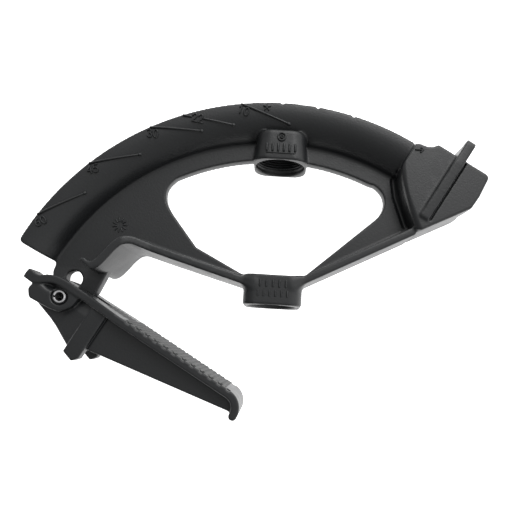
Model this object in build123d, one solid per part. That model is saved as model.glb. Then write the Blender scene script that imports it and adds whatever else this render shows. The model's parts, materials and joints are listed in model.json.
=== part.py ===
from build123d import *
import os
from math import cos, radians, sin, sqrt

# Head of a hand conduit bender: a cast shoe with a grooved rim, a hook, a threaded handle socket, a lower
# handle hub and a hinged foot pedal, drawn lying on its side. The construction frame has its origin at
# the centre of the bend arc, X to the right, Y towards the crown of the shoe, and Z across the tool, with
# z = 0 on the tool's plane of symmetry. Millimetres throughout. The finished solids are moved to the part
# frame, whose origin is the bottom centre of the box around the whole tool.

# Shoe: a half pipe wrapped round the bend arc, for conduit of 38.4 mm outside diameter
bend_radius = 243.8
groove_radius = 19.5
shoe_wall = 5.0
shoe_outer = groove_radius + shoe_wall
rim_radius = 248.0
hook_end_angle = 62.9
rear_end_angle = 151.7
rim_corner_radius = 4.0
rim_notch_angles = (90.2, 83.2, 75.9)
rim_notch_radius = 0.9

# Web: one plate under the shoe, with the large window in it
web_half = 5.0
window_arc_radius = 205.5
window_corner_radius = 14.0
web_joint_y = 190.0

# Handle: a pipe of 42.16 mm outside diameter screws into the socket and passes through the hub
socket_mouth_y = 200.2
socket_top_y = 226.4
socket_half_width = 23.45
socket_half_depth = 24.0
socket_corner = 13.0
thread_radius = 19.4
thread_depth = 15.5
mouth_radius = 21.4
mouth_depth = 4.0
hub_low_y = 76.0
hub_high_y = 102.0
hub_half_width = 25.5
hub_half_depth = 24.0
hub_corner = 11.0
hub_bore_radius = 21.4

# Legs: deep flanges along the outer edges of the web, which run from the hub to the heel and to the hook
leg_half_depth = 22.0
heel_half_depth = 34.0

# Hook, in a frame along the straight conduit that leaves the shoe at hook_tangent_angle
hook_tangent_angle = 61.0
hook_half_depth = 27.0
hook_wall_top = 12.6
hook_clearance_radius = 19.9
strap_near = 28.0
strap_far = 36.5
strap_top = 28.5
strap_chamfer = 5.0
strap_foot = -47.0
strap_half_depth = 32.0

# Pedal hinge
pivot_x = -180.0
pivot_y = 72.0
pin_radius = 5.4
pin_wall = 2.0
pin_half_length = 26.5
pin_slot = 2.6
running_clearance = 0.05
tongue_half = 6.0
tongue_end_radius = 13.0
hang_hole_x = -176.0
hang_hole_y = 90.2
hang_hole_radius = 7.3
tab_swing_radius = 35.5

# Pedal, in a frame at the hinge pin whose first axis runs along the tread towards the nose
pedal_angle = -30.3
tread_top = 15.0
tread_thickness = 7.0
tread_bottom = tread_top - tread_thickness
tread_half_depth = 35.5
tread_end = 164.8
nose_radius = 17.0
ridge_pitch = 4.55
ridge_height = 1.2
ridge_first = 58.0
ridge_count = 22
slot_half = 7.0
slot_end = 33.0
tread_start = 57.0
middle_ridge_first = 35.25
middle_ridge_count = 5
lug_half_depth = 27.0
counterbore_radius = 7.2
counterbore_depth = 2.0
rib_half_depth = 28.0
side_plate_outer = 24.0
side_plate_inner = 18.0


def polar(radius, angle):
    """A point at this radius and angle about the bend centre."""
    return (radius * cos(radians(angle)), radius * sin(radians(angle)))


def outline(*points):
    """A closed flat face through these points."""
    return make_face(Polyline(*points, close=True))


def slab(face, half_depth):
    """The face made solid on both sides of the plane of symmetry."""
    return extrude(face, amount=half_depth, both=True)


def pair(face, inner, outer):
    """The face made solid between two distances from the plane of symmetry, on both sides of it."""
    upper = Pos(0, 0, inner) * extrude(face, amount=outer - inner)
    return upper, mirror(upper, about=Plane.XY)


def largest(shape):
    """The largest solid of a shape, without the crumbs that a cut leaves."""
    return max(shape.solids(), key=lambda solid: solid.volume)


def depth_taper(*points):
    """A block that keeps what lies within these (x, half depth) points, from x to x along the tool."""
    near = [(x, z) for x, z in points]
    far = [(x, -z) for x, z in reversed(points)]
    return extrude(Plane.XZ * outline(*near, *far), amount=600, both=True)


def tube_sweep(radius, top):
    """A half pipe of this radius round the bend arc, closed at the top radius."""
    width = 2 * radius
    low_half = Rectangle(radius, width, align=(Align.MAX, Align.CENTER))
    bottom = Circle(radius) & low_half
    walls = Rectangle(top - bend_radius, width, align=(Align.MIN, Align.CENTER))
    section = Plane.XZ * (Pos(bend_radius, 0) * (bottom + walls))
    sweep_angle = rear_end_angle - hook_end_angle
    return Rot(0, 0, hook_end_angle) * revolve(section, Axis.Z, revolution_arc=sweep_angle)


def in_hook_frame(shape):
    """From the conduit's frame, with its first axis along the straight conduit, to the construction frame."""
    x, y = polar(bend_radius, hook_tangent_angle)
    return Pos(x, y, 0) * Rot(0, 0, hook_tangent_angle - 90) * shape


def in_pedal_frame(shape):
    """From the pedal's frame to the construction frame."""
    return Pos(pivot_x, pivot_y, 0) * Rot(0, 0, pedal_angle) * shape


# ---------------------------------------------------------------- head casting

shoe_envelope = tube_sweep(shoe_outer, rim_radius)


def shoe_channel():
    """Half pipe with straight rims, a rounded rear corner and three small notches on the rim."""
    body = shoe_envelope - tube_sweep(groove_radius, rim_radius + 1)
    corner_x, corner_y = polar(rim_radius, rear_end_angle)
    corners = [
        edge
        for edge in body.edges().filter_by(Axis.Z)
        if (edge.center() - Vector(corner_x, corner_y, edge.center().Z)).length < 0.5
    ]
    body = fillet(corners, rim_corner_radius)
    for angle in rim_notch_angles:
        x, y = polar(rim_radius, angle)
        body -= Pos(x, y, 0) * Cylinder(rim_notch_radius, 3 * shoe_outer)
    return body


def handle_socket():
    """Boss under the crown with the blind threaded hole, which opens towards the hub."""
    height = socket_top_y - socket_mouth_y
    section = RectangleRounded(2 * socket_half_width, 2 * socket_half_depth, socket_corner)
    facing_up = Plane(origin=(0, socket_mouth_y, 0), x_dir=(1, 0, 0), z_dir=(0, 1, 0))
    boss = extrude(facing_up * section, amount=height)
    boss -= extrude(facing_up * Circle(thread_radius), amount=thread_depth)
    boss -= extrude(facing_up * Circle(mouth_radius), amount=mouth_depth)
    return boss - shoe_envelope


def handle_hub():
    """Collar that the handle passes through, first as the solid block and then with its bore."""
    section = RectangleRounded(2 * hub_half_width, 2 * hub_half_depth, hub_corner)
    facing_up = Plane(origin=(0, hub_low_y, 0), x_dir=(1, 0, 0), z_dir=(0, 1, 0))
    block = extrude(facing_up * section, amount=hub_high_y - hub_low_y)
    return block, block - extrude(facing_up * Circle(hub_bore_radius), amount=hub_high_y - hub_low_y)


def window():
    """The window: an arc under the crown, and straight sides down to the hub, with rounded corners."""
    sides = outline(
        (-25.3, hub_high_y),
        (-70.2, 124.7),
        (-104.0, 167.0),
        (-60.0, 230.0),
        (60.0, 230.0),
        (99.0, 169.0),
        (24.3, hub_high_y),
    )
    face = sides & Circle(window_arc_radius)
    upper = face.vertices().filter_by_position(Axis.Y, 150, 195)
    return fillet(upper, window_corner_radius)


def web_plate():
    """The whole web in plan, with room for the socket, the hub and the leg flanges."""
    edge = outline(
        (112.0, 240.0),
        (98.8, 197.0),
        (104.8, 179.1),
        (118.0, 147.0),
        (28.0, 99.0),
        (-28.0, 96.5),
        (-107.0, 118.5),
        (-120.5, 122.6),
        (-128.0, 121.4),
        (-134.5, 116.4),
        (-141.4, 108.2),
        (-147.3, 101.8),
        polar(218.0, rear_end_angle),
        polar(222.0, rear_end_angle - 0.5),
        (-160.0, 240.0),
    )
    face = edge & Circle(bend_radius - groove_radius)
    face -= window()
    face -= outline(
        (-socket_half_width, socket_mouth_y),
        (socket_half_width, socket_mouth_y),
        (socket_half_width, 240.0),
        (-socket_half_width, 240.0),
    )
    face -= outline(
        (-hub_half_width, 60.0),
        (hub_half_width, 60.0),
        (hub_half_width, hub_high_y),
        (-hub_half_width, hub_high_y),
    )
    return face


def left_leg_plan():
    """Flange along the left leg, from the hub to the apex over the heel."""
    return outline(
        (-18.0, 90.2),
        (-106.0, 115.0),
        (-110.0, 116.1),
        (-112.0, 123.0),
        (-108.0, 122.0),
        (-18.0, 97.4),
    )


def heel_plan():
    """Deep flange that turns down round the heel and ends in a curled bead."""
    return outline(
        (-110.0, 116.1),
        (-120.0, 119.2),
        (-126.5, 118.3),
        (-132.0, 114.2),
        (-138.8, 106.1),
        (-144.9, 99.3),
        (-151.6, 96.0),
        (-157.3, 96.6),
        (-161.8, 99.8),
        (-157.0, 104.4),
        (-154.8, 103.0),
        (-152.6, 102.8),
        (-149.8, 104.3),
        (-144.0, 110.3),
        (-137.0, 118.7),
        (-129.5, 124.4),
        (-120.5, 126.0),
        (-112.0, 123.0),
    )


def right_leg_plan():
    """Flange along the right leg, from the hub to its squared end under the hook."""
    return outline(
        (18.0, 91.1),
        (119.3, 143.5),
        (117.5, 150.0),
        (18.0, 98.1),
    )


def tongue_plan():
    """Tongue below the rear of the shoe, with a round end about the hinge pin."""
    plate = outline(
        polar(219.3, rear_end_angle),
        (-195.8, 94.8),
        (pivot_x - tongue_end_radius, pivot_y + 4),
        (pivot_x + 4, pivot_y - tongue_end_radius + 1),
        (-155.8, 78.6),
        (-146.4, 98.7),
        (-147.0, 102.5),
    )
    face = plate + Pos(pivot_x, pivot_y) * Circle(tongue_end_radius)
    face -= Pos(pivot_x, pivot_y) * Circle(pin_radius + running_clearance)
    return face - Pos(hang_hole_x, hang_hole_y) * Circle(hang_hole_radius)


def hook_plan():
    """Side of the hook in the conduit's frame: low at the shoe, a scallop, then the full wall height."""
    scallop_start = (-6.3, 4.6)
    scallop_end = (10.1, hook_wall_top)
    scallop = ThreePointArc(scallop_start, (3.5, 6.8), scallop_end)
    side = Polyline(
        scallop_end,
        (57.5, hook_wall_top),
        (60.7, 9.0),
        (62.7, -7.0),
        (62.2, -17.9),
        (35.4, -57.8),
        (33.4, -59.0),
        (18.8, -47.4),
        (4.8, -36.3),
        (-7.5, -21.0),
        (-7.5, 3.0),
        scallop_start,
    )
    return make_face([scallop, side])


def conduit_passage(length_from, length_to, radius, top):
    """The space of the straight conduit and of everything above it, in the conduit's frame."""
    length = length_to - length_from
    across = Plane(origin=(length_from, 0, 0), x_dir=(0, 1, 0), z_dir=(1, 0, 0))
    slot = Rectangle(top, 2 * radius, align=(Align.MIN, Align.CENTER))
    return extrude(across * (Circle(radius) + slot), amount=length)


def hook_strap():
    """Strap over the conduit, with a thicker face on each side that runs down past the trough."""
    width = strap_far - strap_near
    middle = (strap_near + strap_far) / 2
    across = Plane(origin=(middle, 0, 0), x_dir=(0, 1, 0), z_dir=(1, 0, 0))
    shoulder = 6.0
    arch = Polyline(
        (strap_foot, hook_half_depth - 4),
        (strap_foot, hook_half_depth),
        (shoulder, strap_half_depth),
        (strap_top - strap_chamfer, strap_half_depth),
        (strap_top, strap_half_depth - strap_chamfer),
        (strap_top, -strap_half_depth + strap_chamfer),
        (strap_top - strap_chamfer, -strap_half_depth),
        (shoulder, -strap_half_depth),
        (strap_foot, -hook_half_depth),
        (strap_foot, -hook_half_depth + 4),
        close=True,
    )
    body = extrude(across * make_face(arch), amount=width / 2, both=True)
    return body - extrude(across * Circle(hook_clearance_radius), amount=width, both=True)


def head_casting():
    """The head casting, cut into plain pieces that meet face to face."""
    socket = handle_socket()
    hub_block, hub = handle_hub()
    web = slab(web_plate(), web_half) - shoe_envelope
    crown_side = Pos(0, web_joint_y, 0) * Box(800, 800, 100, align=(Align.CENTER, Align.MIN, Align.CENTER))
    crown = web & crown_side
    lower = web - crown_side
    left_side = Pos(-400, 0, 0) * Box(800, 800, 100)
    left_web = lower & left_side
    right_web = lower - left_side

    left_taper = depth_taper((-115, 28), (-106, 27), (-25, leg_half_depth), (-10, leg_half_depth))
    left_flange = (slab(left_leg_plan(), heel_half_depth) & left_taper) - hub_block
    heel_taper = depth_taper((-170, heel_half_depth), (-128, heel_half_depth), (-106, 27))
    heel = slab(heel_plan() - Pos(pivot_x, pivot_y) * Circle(tab_swing_radius), heel_half_depth) & heel_taper
    right_flange = slab(right_leg_plan(), leg_half_depth) - hub_block
    left_web = left_web - left_flange - heel
    right_web = right_web - right_flange

    tongue = slab(tongue_plan(), tongue_half) - heel - left_web - shoe_envelope
    passage = conduit_passage(-12, 70, hook_clearance_radius, 60)
    strap = in_hook_frame(hook_strap())
    trough = in_hook_frame(slab(hook_plan(), hook_half_depth) - passage)
    trough = trough - strap - shoe_envelope - right_flange
    crown = crown - trough
    right_web = largest(right_web - trough)
    return {
        "shoe_channel": shoe_channel(),
        "handle_socket": socket,
        "handle_hub": hub,
        "web_crown": crown,
        "left_leg_web": left_web,
        "right_leg_web": right_web,
        "left_leg_flange": left_flange,
        "right_leg_flange": right_flange,
        "heel_flange": heel,
        "pivot_tongue": tongue,
        "hook_trough": trough,
        "hook_strap": strap,
    }


# ---------------------------------------------------------------- foot pedal


def tread_plan():
    """Side view of the tread: a flat plate that rolls over into the nose."""
    nose_x = tread_end
    nose_y = tread_top - nose_radius
    over = sqrt(0.5)
    outer = ThreePointArc(
        (nose_x, tread_top),
        (nose_x + nose_radius * over, nose_y + nose_radius * over),
        (nose_x + nose_radius, nose_y),
    )
    inner_radius = nose_radius - tread_thickness
    inner = ThreePointArc(
        (nose_x + inner_radius, nose_y),
        (nose_x + inner_radius * over, nose_y + inner_radius * over),
        (nose_x, tread_bottom),
    )
    lines = [
        Polyline(
            (nose_x, tread_bottom),
            (tread_start, tread_bottom),
            (tread_start, tread_top),
            (nose_x, tread_top),
        ),
        outer,
        Line((nose_x + nose_radius, nose_y), (nose_x + inner_radius, nose_y)),
        inner,
    ]
    return make_face(lines)


def ridges(first, count, half_depth):
    """A row of low ridges across the tread."""
    row = []
    for index in range(count):
        start = first + index * ridge_pitch
        ridge = outline(
            (start, tread_top),
            (start + 0.8 * ridge_pitch, tread_top),
            (start + 0.55 * ridge_pitch, tread_top + ridge_height),
            (start + 0.25 * ridge_pitch, tread_top + ridge_height),
        )
        row.append(slab(ridge, half_depth))
    return row


def pedal_tread():
    """Tread plate and nose, with the narrow strip between the arms up to the end of the slot."""
    strip = outline(
        (slot_end, tread_bottom),
        (tread_start, tread_bottom),
        (tread_start, tread_top),
        (slot_end, tread_top),
    )
    plate = slab(tread_plan(), tread_half_depth) + slab(strip, slot_half)
    for ridge in ridges(ridge_first, ridge_count, tread_half_depth):
        plate += ridge
    for ridge in ridges(middle_ridge_first, middle_ridge_count, slot_half):
        plate += ridge
    return plate


def arm_plan():
    """Side view of the plate over each lug: straight from the tread, a hump over the pin, then a stop tab."""
    bend_start = 8.0
    tip_top = (-34.2, 6.4)
    tip_bottom = (-34.8, -2.0)
    directions = [(-1.0, 0.0), (-1.0, 0.5)]
    top = Spline((bend_start, tread_top), (-15.6, 12.6), (-26.0, 4.6), tip_top, tangents=directions)
    bottom = Spline((bend_start, tread_bottom), (-14.0, 5.4), (-26.0, -2.4), tip_bottom, tangents=directions)
    straight = Polyline(
        (bend_start, tread_bottom),
        (tread_start, tread_bottom),
        (tread_start, tread_top),
        (bend_start, tread_top),
    )
    return make_face([top, Line(tip_top, tip_bottom), bottom, straight])


def lug_plan():
    """Side view of each lug and of the gusset that ties it to the rib."""
    lug = outline(
        (-25.0, -3.0),
        (-26.0, -9.0),
        (-21.0, -14.5),
        (1.3, -20.5),
        (28.4, -31.5),
        (28.4, tread_bottom),
        (10.0, tread_bottom),
        (-14.0, 5.0),
    )
    return lug - Circle(pin_radius)


def rib_plan():
    """Side view of each rib: it stands under the tread and bears on the rear of the shoe in use."""
    return outline(
        (28.4, tread_bottom),
        (28.4, -36.6),
        (38.4, -40.0),
        (43.0, -34.5),
        (43.0, tread_bottom),
    )


def side_plate_plan():
    """Side view of each side plate, which gets shallower towards the nose."""
    return outline(
        (43.0, tread_bottom),
        (43.0, -25.0),
        (175.0, -1.4),
        (171.0, 6.0),
        (tread_end, tread_bottom),
    )


def foot_pedal():
    """The pedal casting, cut into plain pieces that meet face to face."""
    tread = pedal_tread()
    spread = ((-40, lug_half_depth), (20, lug_half_depth), (50, tread_half_depth), (60, tread_half_depth))
    arm_taper = depth_taper(*spread)
    arms = [arm & arm_taper for arm in pair(arm_plan(), slot_half, tread_half_depth)]
    lugs = pair(lug_plan(), slot_half, lug_half_depth)
    ribs = pair(rib_plan(), side_plate_inner, rib_half_depth)
    plates = pair(side_plate_plan(), side_plate_inner, side_plate_outer)
    counterbore = Pos(0, 0, lug_half_depth) * Cylinder(counterbore_radius, 2 * counterbore_depth)
    counterbores = (counterbore, mirror(counterbore, about=Plane.XY))
    nodes = {"pedal_tread": tread}
    for side, arm, lug, rib, plate, recess in zip(("near", "far"), arms, lugs, ribs, plates, counterbores):
        nodes[f"pedal_arm_{side}"] = arm - tread
        nodes[f"pedal_lug_{side}"] = lug - recess - arm
        nodes[f"pedal_rib_{side}"] = rib - tread - arm
        nodes[f"pedal_side_plate_{side}"] = plate - tread
    return {name: in_pedal_frame(shape) for name, shape in nodes.items()}


def spring_pin():
    """Slotted spring pin: a rolled tube with a gap along it."""
    tube = Circle(pin_radius) - Circle(pin_radius - pin_wall)
    gap = Pos(-pin_radius, 0) * Rectangle(2 * pin_radius - pin_wall, pin_slot)
    return Pos(pivot_x, pivot_y, 0) * slab(tube - gap, pin_half_length)


# ---------------------------------------------------------------- part frame and files

head_nodes = head_casting()
pedal_nodes = foot_pedal()
all_nodes = {**head_nodes, **pedal_nodes, "hinge_pin": spring_pin()}

box = Compound(children=[Compound(list(shape.solids())) for shape in all_nodes.values()]).bounding_box()
shift = Vector(-box.center().X, -box.center().Y, -box.min.Z)

os.makedirs("parts", exist_ok=True)
for name, shape in all_nodes.items():
    moved = Compound(list((Pos(*shift) * shape).solids()))
    export_step(moved, f"parts/{name}.step")

print("box size", box.size)
print("part frame = construction frame plus", shift)
print("hinge pin axis", Vector(pivot_x, pivot_y, 0) + shift)
print("socket mouth", Vector(0, socket_mouth_y, 0) + shift)
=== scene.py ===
import json
import math

import bpy
import numpy as np
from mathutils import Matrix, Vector


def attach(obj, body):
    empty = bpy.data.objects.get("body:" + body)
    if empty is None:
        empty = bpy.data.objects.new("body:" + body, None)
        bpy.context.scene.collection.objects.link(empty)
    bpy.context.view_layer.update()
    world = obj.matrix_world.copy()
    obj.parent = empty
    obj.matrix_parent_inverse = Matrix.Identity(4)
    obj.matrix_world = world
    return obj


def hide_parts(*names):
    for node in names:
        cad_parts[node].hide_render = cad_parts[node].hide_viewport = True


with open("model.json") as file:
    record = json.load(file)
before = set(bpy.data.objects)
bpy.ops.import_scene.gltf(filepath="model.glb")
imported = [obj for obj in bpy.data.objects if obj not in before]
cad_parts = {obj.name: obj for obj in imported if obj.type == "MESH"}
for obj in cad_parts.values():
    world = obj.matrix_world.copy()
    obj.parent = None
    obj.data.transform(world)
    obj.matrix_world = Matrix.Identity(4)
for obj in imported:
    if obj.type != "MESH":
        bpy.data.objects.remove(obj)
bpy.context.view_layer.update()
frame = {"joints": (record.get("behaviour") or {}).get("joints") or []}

# The looks of a conduit bender head lying on its side: an iron head casting, an iron foot pedal and a
# slotted spring pin. Both castings are made here as distance fields, because a casting has soft inside and
# outside corners everywhere. Shapes are worked out in millimetres in the construction frame, whose origin
# is the centre of the bend arc with z = 0 on the plane of the web, and go to the row frame in metres.

MM = 0.001
PIVOT = np.array([-180.0, 72.0, 0.0])
OFFSET = np.array(frame["joints"][0]["pos_m"]) / MM - PIVOT

# Radii: the conduit's centreline in the bend, the groove, the shoe around it, and the rim of the head.
BEND = 243.8
GROOVE = 19.5
SHOE = 24.5
RIM = 248.0
# Polar angles: where the shoe ends at the hook and at the rear, and where the conduit leaves the bend.
HOOK_END = math.radians(62.9)
REAR_END = math.radians(151.7)
TANGENT = math.radians(61.0)
PEDAL_ANGLE = math.radians(-30.3)

# Radii of the holes: for the handle, at the thread's root, for the conduit in the hook, and for the pin.
HANDLE_BORE = 21.4
THREAD_ROOT = 20.3
CONDUIT_BORE = 19.9
PIN_HOLE = 5.5
PIN = 5.4
HANG_HOLE, HANG_HOLE_AT = 7.3, (-176.0, 90.2)

# Half thicknesses of the web, the legs' flanges and the hook, and the two bosses' half sizes and corners.
WEB_HALF = 5.0
FLANGE_HALF = 3.4
HOOK_HALF = 27.0
BOSS_HALF_DEPTH = 24.0
SOCKET_CORNER, HUB_CORNER = 13.0, 11.0
HUB_HALF = 25.5

# Along the pedal: the ridged length of the tread, and how far its ridges stay on the narrow middle strip.
RIDGES_FROM, RIDGES_TO = 33.5, 160.5
STRIP_TO, STRIP_HALF = 57.5, 12.5
RIDGE_PITCH, NOTCH_PITCH = 4.55, 9.1
ARM_GAP_HALF = 7.0


# ------------------------------------------------------------------ distance fields


def smooth_union(a, b, r):
    """Both shapes, with a fillet of radius r where they meet."""
    return np.maximum(r, np.minimum(a, b)) - np.hypot(np.maximum(r - a, 0), np.maximum(r - b, 0))


def smooth_common(a, b, r):
    """What both shapes share, with outside edges rounded to radius r."""
    return np.minimum(-r, np.maximum(a, b)) + np.hypot(np.maximum(a + r, 0), np.maximum(b + r, 0))


def smooth_cut(a, b, r):
    """The first shape without the second, with the cut's edges rounded to radius r."""
    return smooth_common(a, -b, r)


def polygon(x, y, points):
    """Signed distance to a polygon, negative inside."""
    points = np.asarray(points, float)
    nearest = np.full(np.broadcast(x, y).shape, 1e9)
    inside = np.zeros(nearest.shape, bool)
    for (ax, ay), (bx, by) in zip(points, np.roll(points, -1, axis=0)):
        ex, ey = bx - ax, by - ay
        t = np.clip(((x - ax) * ex + (y - ay) * ey) / (ex * ex + ey * ey), 0, 1)
        nearest = np.minimum(nearest, (x - ax - t * ex) ** 2 + (y - ay - t * ey) ** 2)
        if ey != 0:
            crosses = ((ay > y) != (by > y)) & (x < ex * (y - ay) / ey + ax)
            inside ^= crosses
    return np.where(inside, -1, 1) * np.sqrt(nearest)


def stroke(x, y, points):
    """Distance to an open line through these points."""
    nearest = np.full(np.broadcast(x, y).shape, 1e9)
    for (ax, ay), (bx, by) in zip(points[:-1], points[1:]):
        ex, ey = bx - ax, by - ay
        t = np.clip(((x - ax) * ex + (y - ay) * ey) / (ex * ex + ey * ey), 0, 1)
        nearest = np.minimum(nearest, (x - ax - t * ex) ** 2 + (y - ay - t * ey) ** 2)
    return np.sqrt(nearest)


def rounded(points, radii):
    """A closed outline with each corner replaced by an arc of its radius, or left sharp where that is 0."""
    points = [np.array(p, float) for p in points]
    out = []
    for i, (corner, r) in enumerate(zip(points, radii)):
        before, after = points[i - 1] - corner, points[(i + 1) % len(points)] - corner
        u, v = before / np.linalg.norm(before), after / np.linalg.norm(after)
        half = math.acos(np.clip(u @ v, -1, 1)) / 2
        if r <= 0 or half > 1.55:
            out.append(corner)
            continue
        reach = min(r / math.tan(half), 0.48 * np.linalg.norm(before), 0.48 * np.linalg.norm(after))
        r = reach * math.tan(half)
        middle = (u + v) / np.linalg.norm(u + v)
        centre = corner + middle * r / math.sin(half)
        start, end = corner + u * reach - centre, corner + v * reach - centre
        a0, a1 = math.atan2(start[1], start[0]), math.atan2(end[1], end[0])
        sweep = (a1 - a0 + math.pi) % (2 * math.pi) - math.pi
        steps = max(2, int(abs(sweep) / 0.2) + 1)
        for k in range(steps + 1):
            angle = a0 + sweep * k / steps
            out.append(centre + r * np.array([math.cos(angle), math.sin(angle)]))
    return np.array(out)


def flowing(points, steps=8):
    """An open line that flows smoothly through these points."""
    p = np.array([points[0], *points, points[-1]], float)
    out = []
    for i in range(1, len(p) - 2):
        for k in range(steps):
            t = k / steps
            a, b, c, d = p[i - 1], p[i], p[i + 1], p[i + 2]
            square, cube = 2 * a - 5 * b + 4 * c - d, 3 * b - a - 3 * c + d
            out.append(0.5 * (2 * b + (c - a) * t + square * t**2 + cube * t**3))
    out.append(p[-2])
    return np.array(out)


def slab(plan, z, half, edge):
    """A plan shape made solid to this half depth, with rounded edges."""
    return smooth_common(plan, np.abs(z) - half, edge)


def band(plan, z, inner, outer, edge):
    """A plan shape made solid between two distances from the plane of symmetry, on both sides."""
    return smooth_common(plan, np.abs(np.abs(z) - (inner + outer) / 2) - (outer - inner) / 2, edge)


def half_space_grid(low, high, step):
    """The x, y and z of a grid, ready to broadcast. z starts half a step above the plane of symmetry."""
    x = np.arange(low[0], high[0] + step, step)[:, None, None]
    y = np.arange(low[1], high[1] + step, step)[None, :, None]
    z = np.arange(step / 2, high[2] + step, step)[None, None, :]
    return x, y, z


def squircle(a, b, half_a, half_b, corner):
    """Cross section of a boss: a rectangle with large corner radii."""
    qa, qb = np.abs(a) - half_a + corner, np.abs(b) - half_b + corner
    return np.hypot(np.maximum(qa, 0), np.maximum(qb, 0)) + np.minimum(np.maximum(qa, qb), 0) - corner


def skin(field, x, y, z, step):
    """The zero surface of a field that is mirrored below z = 0, as points and four-sided faces."""
    field = np.concatenate([field[:, :, ::-1], field], axis=2).astype(np.float32)
    origin = np.array([x[0, 0, 0], y[0, 0, 0], -z[0, 0, -1]])
    inside = field < 0
    n = np.array(field.shape) - 1
    corner = [(i, j, k) for i in (0, 1) for j in (0, 1) for k in (0, 1)]
    count = np.zeros(n, np.int8)
    for i, j, k in corner:
        count += inside[i : i + n[0], j : j + n[1], k : k + n[2]]
    cells = np.argwhere((count > 0) & (count < 8))
    value = {c: field[tuple((cells + c).T)] for c in corner}
    total = np.zeros((len(cells), 3))
    crossings = np.zeros(len(cells))
    for a in corner:
        for axis in range(3):
            if a[axis]:
                continue
            b = tuple(1 if i == axis else a[i] for i in range(3))
            fa, fb = value[a], value[b]
            cut = (fa < 0) != (fb < 0)
            t = np.where(cut, fa / np.where(cut, fa - fb, 1), 0)
            at = np.tile(np.array(a, float), (len(cells), 1))
            at[:, axis] = t
            total[cut] += at[cut]
            crossings[cut] += 1
    points = (cells + total / crossings[:, None]) * step + origin
    number = np.full(n, -1, np.int32)
    number[tuple(cells.T)] = np.arange(len(cells))
    faces = []
    for axis in range(3):
        ahead = [slice(None)] * 3
        ahead[axis] = slice(1, None)
        behind = [slice(None)] * 3
        behind[axis] = slice(None, -1)
        crossing = np.argwhere(inside[tuple(ahead)] != inside[tuple(behind)])
        u, v = [i for i in range(3) if i != axis]
        crossing = crossing[(crossing[:, u] > 0) & (crossing[:, v] > 0)]
        crossing = crossing[(crossing[:, u] < n[u]) & (crossing[:, v] < n[v])]
        quad = []
        for du, dv in ((-1, -1), (0, -1), (0, 0), (-1, 0)):
            cell = crossing.copy()
            cell[:, u] += du
            cell[:, v] += dv
            quad.append(number[tuple(cell.T)])
        quad = np.stack(quad, axis=1)
        leaving = inside[tuple(crossing.T)]
        flip = leaving if axis == 1 else ~leaving
        quad[flip] = quad[flip][:, ::-1]
        faces.append(quad)
    return points, np.concatenate(faces)


def to_row(points):
    """From the construction frame in millimetres to the row frame in metres."""
    return (np.asarray(points, float) + OFFSET) * MM


def pedal_to_row(points):
    """From the pedal's frame at the hinge pin to the row frame in metres."""
    c, s = math.cos(PEDAL_ANGLE), math.sin(PEDAL_ANGLE)
    p = np.asarray(points, float)
    turned = np.stack([p[:, 0] * c - p[:, 1] * s, p[:, 0] * s + p[:, 1] * c, p[:, 2]], axis=1)
    return to_row(turned + PIVOT)


def mesh_piece(name, points, faces, smooth=True):
    """A mesh object from points in metres and faces."""
    mesh = bpy.data.meshes.new(name)
    mesh.from_pydata(np.asarray(points).tolist(), [], [tuple(int(i) for i in face) for face in faces])
    mesh.validate()
    mesh.update()
    mesh.polygons.foreach_set("use_smooth", [smooth] * len(mesh.polygons))
    piece = bpy.data.objects.new(name, mesh)
    bpy.context.scene.collection.objects.link(piece)
    return piece


def field_piece(name, field, x, y, z, step, place, kept):
    """A piece with a field's skin, of which this share of the faces is kept, fewest where it is flat."""
    points, faces = skin(field, x, y, z, step)
    piece = mesh_piece(name, place(points), faces)
    piece.modifiers.new("thinning", "DECIMATE").ratio = kept
    thinned = piece.evaluated_get(bpy.context.evaluated_depsgraph_get())
    piece.data = bpy.data.meshes.new_from_object(thinned)
    piece.modifiers.clear()
    return piece


# ------------------------------------------------------------------ head casting

# Middle lines of the two legs' flanges, and the rounded ends of the window.
LEFT_RIM = [(-18, 93.8), (-60, 105.4), (-98, 116.0), (-112, 120.3), (-120.5, 122.6), (-128.0, 121.4),
            (-134.5, 116.4), (-141.4, 108.2), (-147.3, 101.8), (-152.0, 99.4), (-156.2, 99.9), (-159.2, 102.0)]
RIGHT_RIM = [(18, 94.6), (116.6, 146.0)]
LEFT_END = [(-86.8, 145.4), (-90.6, 150.2), (-94.6, 155.5), (-97.9, 161.4), (-99.5, 168.0), (-98.7, 174.6),
            (-95.6, 179.8)]
RIGHT_END = [(84.0, 188.6), (88.6, 185.2), (92.4, 180.4), (94.2, 174.4), (93.4, 168.0), (90.4, 162.2),
             (86.0, 157.4), (81.0, 152.9)]


def conduit_line():
    """Where the straight conduit leaves the bend, and its direction."""
    return (BEND * math.cos(TANGENT), BEND * math.sin(TANGENT), math.sin(TANGENT), -math.cos(TANGENT))


def hook_frame(x, y):
    """Along the straight conduit that leaves the shoe, and outward from its centreline."""
    ox, oy, ax, ay = conduit_line()
    return (x - ox) * ax + (y - oy) * ay, -(x - ox) * ay + (y - oy) * ax


def from_hook_frame(s, h):
    """The point of the construction plane at this length and height of the conduit's frame."""
    ox, oy, ax, ay = conduit_line()
    return ox + s * ax - h * ay, oy + s * ay + h * ax


def past(angle, x, y):
    """How far a point lies beyond the plane at this polar angle, anticlockwise."""
    return -x * math.sin(angle) + y * math.cos(angle)


def window_outline():
    """The window in plan: the arc under the crown, two rounded ends, and straight sides down to the hub."""
    angles = np.linspace(math.radians(116.3), math.radians(67.3), 25)
    arc = [(205.5 * math.cos(a), 205.5 * math.sin(a)) for a in angles]
    left_end = flowing(LEFT_END, 4)
    right_end = flowing(RIGHT_END, 4)
    return np.array([*arc, *right_end, (24.3, 102.0), (-25.3, 102.0), (-70.2, 124.7), *left_end])


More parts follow.
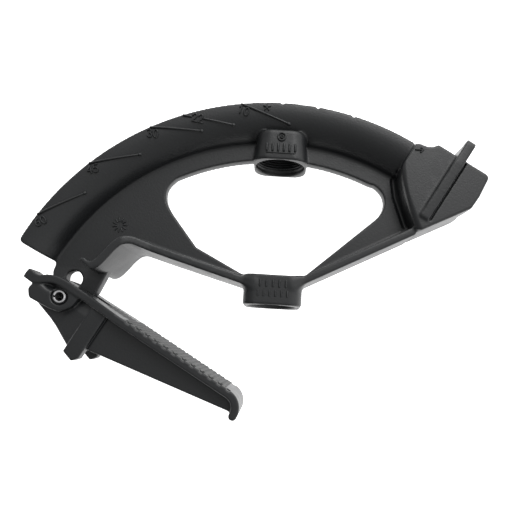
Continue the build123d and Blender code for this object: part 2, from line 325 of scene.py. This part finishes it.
def hook_field(s, h, z):
    """The hook without its passage: a deep block with a scalloped top and a rounded left side."""
    corners = [(-10, 2.2), (-10, -70), (33.4, -70), (33.4, -59), (35.4, -57.8), (62.4, -17.9), (62.9, -6),
               (60.9, 13.4), (10.1, 12.8), (6.6, 8.6), (2.6, 6.4), (-3.5, 5.2)]
    plan = polygon(s, h, rounded(corners, [0, 0, 0, 0, 2, 3, 6, 4, 1.2, 5, 5, 2]))
    block = slab(plan, z, HOOK_HALF, 1.6)
    upper_side = -7.2 - s
    lower_side = (-7.2 - s) * 0.779 + (-21 - h) * 0.627
    foot_side = (4.8 - s) * 0.613 + (-36.3 - h) * 0.790
    block = smooth_common(block, upper_side, 1.4)
    block = smooth_common(block, lower_side, 5.0)
    return smooth_common(block, foot_side, 5.0)


def head_field(x, y, z):
    """The head casting: the shoe, the web and its flanges, the socket and hub, the hook, then every hole."""
    r = np.hypot(x, y)
    from_pin = np.hypot(x - PIVOT[0], y - PIVOT[1])
    tube = np.hypot(np.maximum(BEND - r, 0), z)
    rear, front = past(REAR_END, x, y), -past(HOOK_END, x, y)
    shoe_plan = np.maximum(smooth_common(r - RIM, rear, 4.0), front)
    body = smooth_common(tube - SHOE, shoe_plan, 1.2)

    web_plan = polygon(x, y, [
        (116, 240), (106, 197), (112, 179.1), (118, 157), (116.6, 146), (22, 96.5), (-22, 95.5), (-107, 119),
        (-121, 122.6), (-128, 121.4), (-137, 114), (-147, 103), (-150, 101), (-193, 104), (-230, 140),
        (-160, 240)])
    web_plan = np.maximum(np.maximum(web_plan, r - 235), rear)
    web_plan = np.maximum(web_plan, -polygon(x, y, window_outline()))
    tongue_corners = [(-180, 112), (-193.1, 104), (-195.6, 95.5), (-193, 76), (-176, 60), (-155.8, 78.6),
                      (-146.4, 98.7), (-147, 108)]
    tongue_plan = polygon(x, y, rounded(tongue_corners, [0, 2, 5, 0, 0, 8, 4, 0]))
    tongue_plan = np.minimum(tongue_plan, from_pin - 13)
    plate_half = WEB_HALF + np.clip((100 - y) / 10, 0, 1) * (x < -140)
    body = smooth_union(body, slab(smooth_union(web_plan, tongue_plan, 2.0), z, plate_half, 1.0), 1.0)

    depth = 22 + 5 * np.clip((-x - 25) / 81, 0, 1) + 7 * np.clip((-x - 106) / 22, 0, 1)
    left = smooth_common(stroke(x, y, flowing(LEFT_RIM)) - FLANGE_HALF, np.abs(z) - depth, 1.2)
    left = smooth_cut(left, from_pin - 35.4, 1.0)
    body = smooth_union(body, left, 2.6 - 1.6 * np.clip((-x - 125) / 10, 0, 1))
    body = smooth_union(body, slab(stroke(x, y, RIGHT_RIM) - FLANGE_HALF, z, 22.0, 1.2), 2.6)

    socket_half = 23.45 - 2.0 * np.clip((y - 203) / 15, 0, 1)
    socket = smooth_common(squircle(x, z, socket_half, BOSS_HALF_DEPTH, SOCKET_CORNER), 200.2 - y, 0.9)
    socket = smooth_common(socket, y - 226.0, 3.0)
    body = smooth_union(body, socket, 1.3)
    hub = smooth_common(squircle(x, z, HUB_HALF, BOSS_HALF_DEPTH, HUB_CORNER), np.abs(y - 89) - 13, 1.2)
    body = smooth_union(body, hub, 5.0)

    s, h = hook_frame(x, y)
    body = smooth_union(body, hook_field(s, h, z), 2.2)
    body = smooth_union(body, slab(np.hypot(s + 7.3, h + 20.8) - 1.8, z, 10.5, 1.0), 2.0)
    valley = stroke(s, h, [(-6.4, -25.5), (3.2, -37.2), (24, -54)])
    body = smooth_cut(body, np.hypot(valley, (np.abs(z) - 5.4) * 0.8) - 2.0, 0.4)
    beside_strap = np.abs(s - 32.25) - 4.25
    strap_half = 28.6 + 3.4 * np.clip((h + 47) / 53, 0, 1)
    strap_plan = smooth_common(beside_strap, np.maximum(h - 28.4, -47 - h), 1.5)
    strap = smooth_common(strap_plan, smooth_common(np.abs(z) - strap_half, h - 28.4, 5.0), 0.7)
    body = smooth_union(body, strap, 0.9)
    seam = np.hypot(s - 37.5, (27.2 - np.abs(z)) * 0.35) - 1.0
    body = np.maximum(body, -np.maximum(seam, np.maximum(-46 - h, h - 12)))

    conduit = np.hypot(h, z) - CONDUIT_BORE
    passage = np.where(h > 0, np.abs(z) - CONDUIT_BORE, conduit)
    under_strap = np.maximum(beside_strap, -h)
    passage = np.minimum(np.maximum(passage, -under_strap), conduit)
    groove = np.maximum(tube - GROOVE, front)
    body = smooth_cut(body, groove, 1.2)
    body = smooth_cut(body, np.maximum(passage, -6.0 - s), 1.2)

    along_handle = np.hypot(x, z)
    body = smooth_cut(body, np.maximum(along_handle - HANDLE_BORE, np.abs(y - 190) - 14.2), 0.9)
    body = smooth_cut(body, np.maximum(along_handle - THREAD_ROOT, np.abs(y - 200) - 15.7), 0.4)
    body = smooth_cut(body, np.maximum(along_handle - HANDLE_BORE, y - 112), 0.9)
    body = smooth_cut(body, np.hypot(x - HANG_HOLE_AT[0], y - HANG_HOLE_AT[1]) - HANG_HOLE, 1.0)
    body = smooth_cut(body, from_pin - PIN_HOLE, 0.5)
    for angle in (90.2, 83.2, 75.9):
        nx, ny = RIM * math.cos(math.radians(angle)), RIM * math.sin(math.radians(angle))
        body = smooth_cut(body, np.hypot(x - nx, y - ny) - 1.2, 0.4)
    return body


# ------------------------------------------------------------------ foot pedal


def tread_half(a):
    """Half the tread's width at this place along the pedal."""
    return 27 + 8.5 * np.clip((a - 20) / 30, 0, 1)


def pedal_field(a, b, z):
    """The pedal in its own frame: a along the tread towards the nose, b out of the tread's face."""
    line = [(0, 11.5), (164.8, 11.5)]
    line += [(164.8 + 13.5 * math.sin(t), -2 + 13.5 * math.cos(t)) for t in np.linspace(0.2, math.pi / 2, 8)]
    arm_line = flowing([(8, 11.5), (0, 11.5), (-7, 10.9), (-13, 9.2), (-18.5, 5.8), (-23, 2.6), (-27, 1.2),
                        (-30.4, 1.6)])
    half = tread_half(a)
    plate_plan = np.minimum(stroke(a, b, line), stroke(a, b, arm_line)) - 3.5
    tab = polygon(a, b, rounded([(-25, -2.6), (-34.8, -2.6), (-34.2, 6.4), (-25, 4.8)], [0, 0.8, 0.8, 0]))
    plate = slab(smooth_union(plate_plan, tab, 2.0), z, half, 1.0)

    side_plan = polygon(a, b, [(42, 10), (42, -25.3), (176, -1.2), (176, 5), (168, 10)])
    body = smooth_union(plate, band(side_plan, z, 18.0, 24.0, 0.9), 2.4)

    lug_corners = [(-25, -1), (-26.4, -8.6), (-21.5, -15), (-4, -13.5), (6.5, -11.5), (13.5, -2), (15, 10),
                   (-14, 7)]
    lug_plan = polygon(a, b, rounded(lug_corners, [3, 4, 4, 8, 8, 8, 0, 0]))
    lug_face = 26.2 - 5.5 * np.exp(-(((a + 12) / 7.0) ** 2) - ((b - 3.6) / 3.0) ** 2)
    body = smooth_union(body, smooth_common(lug_plan, np.abs(z) - lug_face, 1.2), 1.2)
    gusset_plan = polygon(a, b, [(-21.5, -13.6), (1.3, -20.5), (28.4, -31.5), (34, -31.5), (34, 9), (-14, 7),
                                 (-23, -5)])
    gusset_face = 20.0 + 5.5 * np.clip((a - 9) / 20, 0, 1) - 2.2 * np.clip((b + 2) / 8, 0, 1)
    body = smooth_union(body, smooth_common(gusset_plan, np.abs(z) - gusset_face, 1.4), 1.0)
    rib_corners = [(28.4, 10), (28.4, -36.4), (38.8, -39.6), (43, -34.5), (43, 10)]
    rib_plan = polygon(a, b, rounded(rib_corners, [0, 1.5, 1.5, 1.5, 0]))
    body = smooth_union(body, band(rib_plan, z, 18.0, 28.0, 1.2), 0.8)

    on_top = np.abs(z) - np.where(a < STRIP_TO, STRIP_HALF, 60.0)
    waves = 1 + np.cos((a - 60.3) * 2 * math.pi / RIDGE_PITCH)
    ridge = 0.55 * waves * (0.8 + 0.2 * np.cos(z * 2 * math.pi / 4.7)) - 0.1
    ridge = ridge * np.clip((half - 2.2 - np.abs(z)) / 4, 0, 1)
    ridged = np.maximum(np.maximum(RIDGES_FROM - a, a - RIDGES_TO), on_top)
    raised = np.maximum(np.maximum(b - 15.0 - ridge, 10 - b), np.maximum(np.abs(z) - half + 2.6, ridged))
    body = np.minimum(body, raised)

    from_pin = np.hypot(a, b)
    body = np.maximum(body, -(from_pin - PIN))
    body = smooth_cut(body, np.maximum(from_pin - 7.4, 22.6 - np.abs(z)), 0.5)
    slot = np.maximum(np.abs(z) - ARM_GAP_HALF, np.maximum(a - 33.0, -40 - a))
    body = smooth_cut(body, slot, 0.7)
    under = np.maximum(np.abs(z) - ARM_GAP_HALF, np.maximum(b - 8, 33 - a))
    body = np.maximum(body, -np.maximum(under, a - 44))
    seam = np.hypot(a - 43.4, (24.0 - np.abs(z)) * 0.7) - 0.55
    body = np.maximum(body, -np.maximum(seam, b - 8.5))
    notch_at = (a - 63.2 + NOTCH_PITCH / 2) % NOTCH_PITCH - NOTCH_PITCH / 2
    notch = np.maximum(np.abs(notch_at) - 1.9, np.maximum(13.9 - b, half - 6.5 - np.abs(z)))
    notch = np.maximum(notch, np.maximum(58 - a, a - 166))
    return np.maximum(body, -notch)


def paint_ridges(mesh):
    """The second material on the ridged part of the tread."""
    centres = np.array([face.center for face in mesh.polygons]) / MM - OFFSET - PIVOT
    c, s = math.cos(PEDAL_ANGLE), math.sin(PEDAL_ANGLE)
    a, b = centres[:, 0] * c + centres[:, 1] * s, centres[:, 1] * c - centres[:, 0] * s
    depth = np.abs(centres[:, 2])
    strip = (a > RIDGES_FROM) & (depth < STRIP_HALF)
    ridged = (b > 14.3) & (a < RIDGES_TO) & (depth < tread_half(a) - 1.6) & ((a > STRIP_TO) | strip)
    mesh.polygons.foreach_set("material_index", ridged.astype(int))


# ------------------------------------------------------------------ raised marks

# Each digit as open lines in a box 0.6 wide and 1 high.
STROKES = {
    "0": [[(0.3 + 0.29 * math.cos(t), 0.5 + 0.5 * math.sin(t)) for t in np.linspace(0, 2 * math.pi, 15)]],
    "1": [[(0.10, 0.76), (0.32, 1.0), (0.32, 0.0)]],
    "2": [[(0.03, 0.75), (0.12, 0.94), (0.3, 1.0), (0.5, 0.93), (0.56, 0.72), (0.45, 0.5), (0.02, 0.0),
           (0.6, 0.0)]],
    "3": [[(0.03, 0.86), (0.2, 1.0), (0.42, 0.98), (0.55, 0.8), (0.48, 0.6), (0.28, 0.53)],
          [(0.28, 0.53), (0.5, 0.45), (0.6, 0.25), (0.47, 0.04), (0.2, 0.0), (0.02, 0.15)]],
    "4": [[(0.45, 0.0), (0.45, 1.0), (0.0, 0.3), (0.62, 0.3)]],
    "5": [[(0.55, 1.0), (0.12, 1.0), (0.06, 0.55), (0.3, 0.63), (0.52, 0.52), (0.58, 0.3), (0.45, 0.06),
           (0.2, 0.0), (0.02, 0.12)]],
    "6": [[(0.5, 0.95), (0.25, 0.88), (0.07, 0.6), (0.02, 0.3), (0.12, 0.06), (0.32, 0.0), (0.52, 0.1),
           (0.58, 0.3), (0.48, 0.52), (0.28, 0.58), (0.07, 0.42)]],
}
# The polar angle of each bend mark, its degrees, and the polar angle of its digits.
MARKS = ((98.3, "10", 98.0), (110.0, "22", 107.4), (116.9, "30", 117.0), (130.9, "45", 131.1),
         (145.2, "60", 146.0))


def on_shoe(x, y, side):
    """The point on the shoe's side face above this place in plan, and the outward normal there."""
    r = math.hypot(x, y)
    below = max(BEND - r, 0.0)
    z = math.sqrt(max(SHOE**2 - below**2, 1.0))
    normal = np.array([-below * x / r, -below * y / r, z]) / SHOE
    return np.array([x, y, z * side]), normal * (1, 1, side)


def on_flat(height):
    """The same for a flat face at this height from the plane of symmetry."""
    return lambda x, y, side: (np.array([x, y, height * side]), np.array([0.0, 0.0, side]))


def on_boss(half_a, half_b, corner):
    """The same for the rounded face of the socket or the hub."""

    def place(x, y, side):
        over = max(abs(x) - half_a + corner, 0.0)
        z = half_b - corner + math.sqrt(max(corner**2 - over**2, 0.01))
        normal = np.array([math.copysign(over, x), 0.0, z - half_b + corner]) / corner
        return np.array([x, y, z * side]), normal * (1, 1, side)

    return place


class Ridges:
    """Gathers rounded ridges that stand on a surface, and makes one piece from them."""

    def __init__(self):
        self.points, self.faces = [], []

    def add(self, path, place, side, half_width, height, spacing=1.5):
        """One ridge along this path, laid on a surface by place, with rounded ends."""
        dense = [np.array(path[0], float)]
        for p, q in zip(path[:-1], path[1:]):
            p, q = np.array(p, float), np.array(q, float)
            count = max(1, int(np.linalg.norm(q - p) / spacing))
            dense += [p + (q - p) * k / count for k in range(1, count + 1)]
        spots = [place(x, y, side) for x, y in dense]
        points = np.array([p for p, _ in spots])
        normals = np.array([n for _, n in spots])
        tangents = np.gradient(points, axis=0)
        # Where a path doubles back on itself the central difference is zero, so the last step's direction
        # is used.
        doubled_back = np.linalg.norm(tangents, axis=1) < 1e-6
        tangents[doubled_back] = (points - np.roll(points, 1, axis=0))[doubled_back]
        tangents /= np.linalg.norm(tangents, axis=1)[:, None]
        rings = [(points[0], tangents[0], normals[0], -math.sin(t), math.cos(t)) for t in (1.35, 0.8, 0.4)]
        rings += [(p, t, n, 0.0, 1.0) for p, t, n in zip(points, tangents, normals)]
        rings += [(points[-1], tangents[-1], normals[-1], math.sin(t), math.cos(t)) for t in (0.4, 0.8, 1.35)]
        angles = np.linspace(0, math.pi, 7)
        start = len(self.points)
        for p, t, n, shift, scale in rings:
            across = np.cross(t, n)
            middle = p + t * shift * half_width
            for angle in angles:
                rise = height * scale * math.sin(angle) - (0.4 if angle in (angles[0], angles[-1]) else 0.0)
                self.points.append(middle + across * half_width * scale * math.cos(angle) + n * rise)
        size = len(angles)
        for i in range(len(rings) - 1):
            for k in range(size - 1):
                a = start + i * size + k
                self.faces.append((a, a + 1, a + size + 1, a + size))
        self.faces.append(tuple(range(start, start + size)))
        last = start + (len(rings) - 1) * size
        self.faces.append(tuple(range(last + size - 1, last - 1, -1)))

    def text(self, word, centre, heading, size, place, side):
        """Digits centred here, reading along this heading when seen from their own side."""
        along = np.array([math.cos(heading), math.sin(heading)]) * side
        up = np.array([-math.sin(heading), math.cos(heading)])
        advance = 0.82 * size
        left = -0.5 * (advance * (len(word) - 1) + 0.6 * size)
        for index, digit in enumerate(word):
            for path in STROKES[digit]:
                moved = [np.array(centre) + along * (left + index * advance + size * u) + up * size * (v - 0.5)
                         for u, v in path]
                self.add(moved, place, side, half_width=0.7, height=1.5, spacing=1.0)

    def piece(self, name):
        """All the ridges gathered so far as one mesh object."""
        return mesh_piece(name, to_row(self.points), self.faces)


def ring(x, y, radius):
    """A closed circle in plan."""
    return [(x + radius * math.cos(t), y + radius * math.sin(t)) for t in np.linspace(0, 2 * math.pi, 25)]


def polar(radius, degrees):
    """The point of the plane at this radius and angle."""
    return np.array([math.cos(math.radians(degrees)), math.sin(math.radians(degrees))]) * radius


def degree_marks():
    """On both sides: bend marks with their degrees, a star, an arrow at the hook, and a burst on the web."""
    marks = Ridges()
    for side in (1, -1):
        for angle, word, word_angle in MARKS:
            heading = math.radians(angle - 115.5)
            start = polar(RIM - 1.2, angle)
            way = np.array([math.cos(heading), math.sin(heading)])
            spans = ((0, 6.5), (17.5, 43)) if word == "22" else ((0, 43),)
            for begin, end in spans:
                marks.add([start + way * begin, start + way * end], on_shoe, side, 1.0, 1.5)
            marks.add([start + way * 42.2, start + way * 43.2], on_shoe, side, 1.5, 1.8, 0.5)
            marks.text(word, polar(241.5, word_angle), heading, 6.3, on_shoe, side)
        cx, cy = polar(243.6, 93.3)
        for k in range(5):
            t = math.pi / 2 + k * 2 * math.pi / 5
            ray = [(cx, cy), (cx + 2.9 * math.cos(t), cy + 2.9 * math.sin(t))]
            marks.add(ray, on_shoe, side, 0.7, 1.4, 0.8)
        arrow_turns = ((-4.2, -1.6), (1.4, 1.6), (-1.6, 1.9), (1.4, 1.6), (0.4, -1.3))
        arrow = [from_hook_frame(s, h) for s, h in arrow_turns]
        marks.add(arrow, on_flat(HOOK_HALF), side, 0.8, 1.4, 0.8)
        for k in range(11):
            t = k * 2 * math.pi / 11
            c, q = math.cos(t), math.sin(t)
            ray = [(-138.6 + reach * c, 140.1 + reach * q) for reach in (3.2, 6.2)]
            marks.add(ray, on_flat(WEB_HALF), side, 0.65, 0.9, 1)
    return marks.piece("shoe_marks")


def pictograms():
    """Generic raised figures: two rings over a row of bars on the socket, two rows of bars on the hub."""
    marks = Ridges()
    socket = on_boss(21.9, BOSS_HALF_DEPTH, SOCKET_CORNER)
    hub = on_boss(HUB_HALF, BOSS_HALF_DEPTH, HUB_CORNER)
    for side in (1, -1):
        marks.add(ring(0, 219.0, 3.2), socket, side, 0.8, 1.5, 0.8)
        marks.add(ring(0, 219.0, 1.1), socket, side, 0.6, 1.4, 0.5)
        for x in (-12, -7.2, -2.4, 2.4, 7.2, 12):
            marks.add([(x, 207.4), (x, 212.6)], socket, side, 1.1, 1.7, 1.5)
        marks.add([(-12, 205.4), (12, 205.4)], socket, side, 0.6, 0.9, 1.5)
        for x in (-11, -5.5, 0, 5.5, 11):
            marks.add([(x, 91.8), (x, 96.8)], hub, side, 0.95, 1.1, 1.5)
        for x in (-12.5, -7.5, -2.5, 2.5, 7.5, 12.5):
            marks.add([(x, 83.6), (x, 88.0)], hub, side, 0.8, 1.0, 1.5)
    return marks.piece("boss_figures")


def socket_thread():
    """The thread inside the handle socket: a V ridge that winds up the bore at 11.5 turns to the inch."""
    pitch, low, high = 2.209, 205.0, 215.0
    turn = 72
    count = int((high - low) / pitch * turn)
    foot, height = 20.6, 1.2
    points, faces = [], []
    for i in range(count + 1):
        angle = i * 2 * math.pi / turn
        y = low + i * pitch / turn
        fade = min(1.0, i / 36, (count - i) / 36)
        for offset, radius in ((-1.0, foot), (0.0, foot - height * fade), (1.0, foot)):
            points.append((radius * math.cos(angle), y + offset, radius * math.sin(angle)))
    for i in range(count):
        for k in range(2):
            a = 3 * i + k
            faces.append((a, a + 3, a + 4, a + 1))
        a = 3 * i
        faces.append((a, a + 2, a + 5, a + 3))
    faces += [(0, 1, 2), (3 * count + 2, 3 * count + 1, 3 * count)]
    return mesh_piece("socket_thread", to_row(points), faces)


def spring_pin():
    """A rolled pin with rounded ends, and a gap along it that faces away from the nose."""
    gap = math.asin(1.3 / PIN)
    arc = np.linspace(math.pi + gap, 3 * math.pi - gap, 49)
    profile = [(3.7, -26.0), (4.1, -26.5), (5.0, -26.5), (PIN, -26.0), (PIN, 26.0), (5.0, 26.5), (4.1, 26.5),
               (3.7, 26.0)]
    points = [(r * math.cos(t) + PIVOT[0], r * math.sin(t) + PIVOT[1], z) for t in arc for r, z in profile]
    size = len(profile)
    faces = []
    for i in range(len(arc) - 1):
        for k in range(size):
            a, b = i * size + k, i * size + (k + 1) % size
            faces.append((a, a + size, b + size, b))
    faces.append(tuple(range(size)))
    faces.append(tuple(range(len(arc) * size - 1, (len(arc) - 1) * size - 1, -1)))
    return mesh_piece("spring_pin", to_row(points), faces, smooth=False)


# ------------------------------------------------------------------ materials


def principled(name, colour):
    """A new material with this base colour."""
    material = bpy.data.materials.new(name)
    material.use_nodes = True
    shader = material.node_tree.nodes["Principled BSDF"]
    shader.inputs["Base Color"].default_value = (*colour, 1)
    return material, shader


def noise(material, scale, detail):
    """A noise pattern that stays with the object."""
    nodes, links = material.node_tree.nodes, material.node_tree.links
    coords = nodes.new("ShaderNodeTexCoord")
    pattern = nodes.new("ShaderNodeTexNoise")
    pattern.inputs["Scale"].default_value = scale
    pattern.inputs["Detail"].default_value = detail
    links.new(coords.outputs["Object"], pattern.inputs["Vector"])
    return pattern.outputs["Fac"]


def add_grain(material, shader, scale, detail, strength, distance):
    """Fine bumps over the whole surface."""
    nodes, links = material.node_tree.nodes, material.node_tree.links
    bump = nodes.new("ShaderNodeBump")
    bump.inputs["Strength"].default_value = strength
    bump.inputs["Distance"].default_value = distance
    links.new(noise(material, scale, detail), bump.inputs["Height"])
    links.new(bump.outputs["Normal"], shader.inputs["Normal"])


def add_patches(material, shader, scale, detail, smoothest, roughest):
    """A roughness that varies in patches between these two."""
    nodes, links = material.node_tree.nodes, material.node_tree.links
    gloss = nodes.new("ShaderNodeMapRange")
    gloss.inputs["To Min"].default_value = smoothest
    gloss.inputs["To Max"].default_value = roughest
    links.new(noise(material, scale, detail), gloss.inputs["Value"])
    links.new(gloss.outputs["Result"], shader.inputs["Roughness"])


def black_paint():
    """Semi-matt black paint over a sand casting: a fine grain, and a slow unevenness of gloss."""
    material, shader = principled("black_paint", (0.011, 0.012, 0.013))
    add_grain(material, shader, 700.0, 3.0, 0.3, 0.0004)
    add_patches(material, shader, 60.0, 4.0, 0.32, 0.50)
    return material


def ridged_paint():
    """The same paint worn matt and rough over the tread's ridges."""
    material, shader = principled("ridged_paint", (0.03, 0.031, 0.031))
    shader.inputs["Roughness"].default_value = 0.6
    shader.inputs["Specular IOR Level"].default_value = 0.4
    add_grain(material, shader, 520.0, 2.0, 0.6, 0.0008)
    return material


def bright_steel():
    """The outside of the spring pin."""
    material, shader = principled("bright_steel", (0.75, 0.75, 0.76))
    shader.inputs["Metallic"].default_value = 1.0
    add_patches(material, shader, 1500.0, 2.0, 0.22, 0.38)
    return material


def bore_painted_shade():
    """Painted shade inside the spring pin's bore: a near-black, rough steel that stands in for the shade down
    the hole.
    """
    material, shader = principled("bore_painted_shade", (0.03, 0.03, 0.03))
    shader.inputs["Roughness"].default_value = 0.7
    add_grain(material, shader, 900.0, 2.0, 0.2, 0.0003)
    return material


def table_top():
    """A lit white table, as a product photograph uses."""
    material, shader = principled("white_table", (0.85, 0.85, 0.85))
    shader.inputs["Roughness"].default_value = 0.8
    shader.inputs["Emission Color"].default_value = (1, 1, 1, 1)
    shader.inputs["Emission Strength"].default_value = 1.3
    return material


# ------------------------------------------------------------------ camera, floor and light


def camera():
    """Straight down from 471 mm up, turned by 3.45 degrees, with the lens shifted to frame the object."""
    width = 512
    data = bpy.data.cameras.new("camera")
    data.sensor_width = 36.0
    data.lens = 526.0 * 36.0 / width
    data.shift_x = -16 / width
    data.shift_y = 93 / width
    data.clip_start = 0.01
    data.clip_end = 20
    obj = bpy.data.objects.new("camera", data)
    bpy.context.scene.collection.objects.link(obj)
    obj.location = Vector(to_row([[2.5, 38.5, 471.0]])[0])
    obj.rotation_euler = (0, 0, math.radians(3.45))
    bpy.context.scene.camera = obj


def area_light(name, location, size, power):
    """A square soft light that faces the object."""
    data = bpy.data.lights.new(name, "AREA")
    data.shape = "SQUARE"
    data.size = size
    data.energy = power
    obj = bpy.data.objects.new(name, data)
    bpy.context.scene.collection.objects.link(obj)
    obj.location = location
    obj.rotation_euler = (-Vector(location)).to_track_quat("-Z", "Y").to_euler()


def surroundings():
    """A white table, a studio that is brighter from one side, and one soft key light."""
    size = 3.0
    corners = [(-size, -size, 0), (size, -size, 0), (size, size, 0), (-size, size, 0)]
    floor = mesh_piece("floor", corners, [(0, 1, 2, 3)])
    floor.data.materials.append(table_top())
    world = bpy.data.worlds.new("studio")
    bpy.context.scene.world = world
    world.use_nodes = True
    nodes, links = world.node_tree.nodes, world.node_tree.links
    coords = nodes.new("ShaderNodeTexCoord")
    side = nodes.new("ShaderNodeVectorMath")
    side.operation = "DOT_PRODUCT"
    side.inputs[1].default_value = (0.50, 0.50, -0.15)
    links.new(coords.outputs["Generated"], side.inputs[0])
    brightness = nodes.new("ShaderNodeMapRange")
    brightness.interpolation_type = "SMOOTHSTEP"
    brightness.inputs["From Min"].default_value = -0.65
    brightness.inputs["From Max"].default_value = 0.65
    brightness.inputs["To Min"].default_value = 0.24
    brightness.inputs["To Max"].default_value = 1.4
    links.new(side.outputs["Value"], brightness.inputs["Value"])
    links.new(brightness.outputs["Result"], nodes["Background"].inputs["Strength"])
    nodes["Background"].inputs["Color"].default_value = (1, 1, 1, 1)
    area_light("key_light", (0.45, 1.25, 1.35), 1.0, 14)
    bpy.context.scene.view_settings.view_transform = "Standard"


# ------------------------------------------------------------------ the pieces

HEAD_NODES = ["shoe_channel", "handle_socket", "handle_hub", "web_crown", "left_leg_web", "right_leg_web",
              "left_leg_flange", "right_leg_flange", "heel_flange", "pivot_tongue", "hook_trough", "hook_strap"]
PEDAL_PAIRS = ("arm", "lug", "rib", "side_plate")
PEDAL_NODES = ["pedal_tread", *(f"pedal_{kind}_{side}" for side in ("near", "far") for kind in PEDAL_PAIRS)]
# Grid steps in millimetres, and the share of each skin's faces that is kept.
HEAD_STEP, HEAD_KEPT = 1.1, 0.62
PEDAL_STEP, PEDAL_KEPT = 0.75, 0.88
PIN_PROFILE_SIDES, PIN_BORE_SIDE = 8, 7

camera()
surroundings()
paint = black_paint()

head_grid = half_space_grid((-222, 54), (182, 252, 37), HEAD_STEP)
head_skin = head_field(*head_grid)
head = field_piece("head_casting", head_skin, *head_grid, HEAD_STEP, to_row, HEAD_KEPT)
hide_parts(*HEAD_NODES)
for piece in (head, degree_marks(), pictograms(), socket_thread()):
    piece.data.materials.append(paint)
    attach(piece, "head")

pedal_grid = half_space_grid((-38, -43), (186, 20, 39), PEDAL_STEP)
pedal_skin = pedal_field(*pedal_grid)
pedal = field_piece("pedal_casting", pedal_skin, *pedal_grid, PEDAL_STEP, pedal_to_row, PEDAL_KEPT)
pedal.data.materials.append(paint)
pedal.data.materials.append(ridged_paint())
paint_ridges(pedal.data)
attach(pedal, "pedal")
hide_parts(*PEDAL_NODES)

pin = spring_pin()
pin.data.materials.append(bright_steel())
pin.data.materials.append(bore_painted_shade())
# The bore's faces get the near-black material, which paints the shade inside the rolled pin.
for index, face in enumerate(pin.data.polygons):
    if index % PIN_PROFILE_SIDES == PIN_BORE_SIDE:
        face.material_index = 1
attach(pin, "pedal")
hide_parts("hinge_pin")
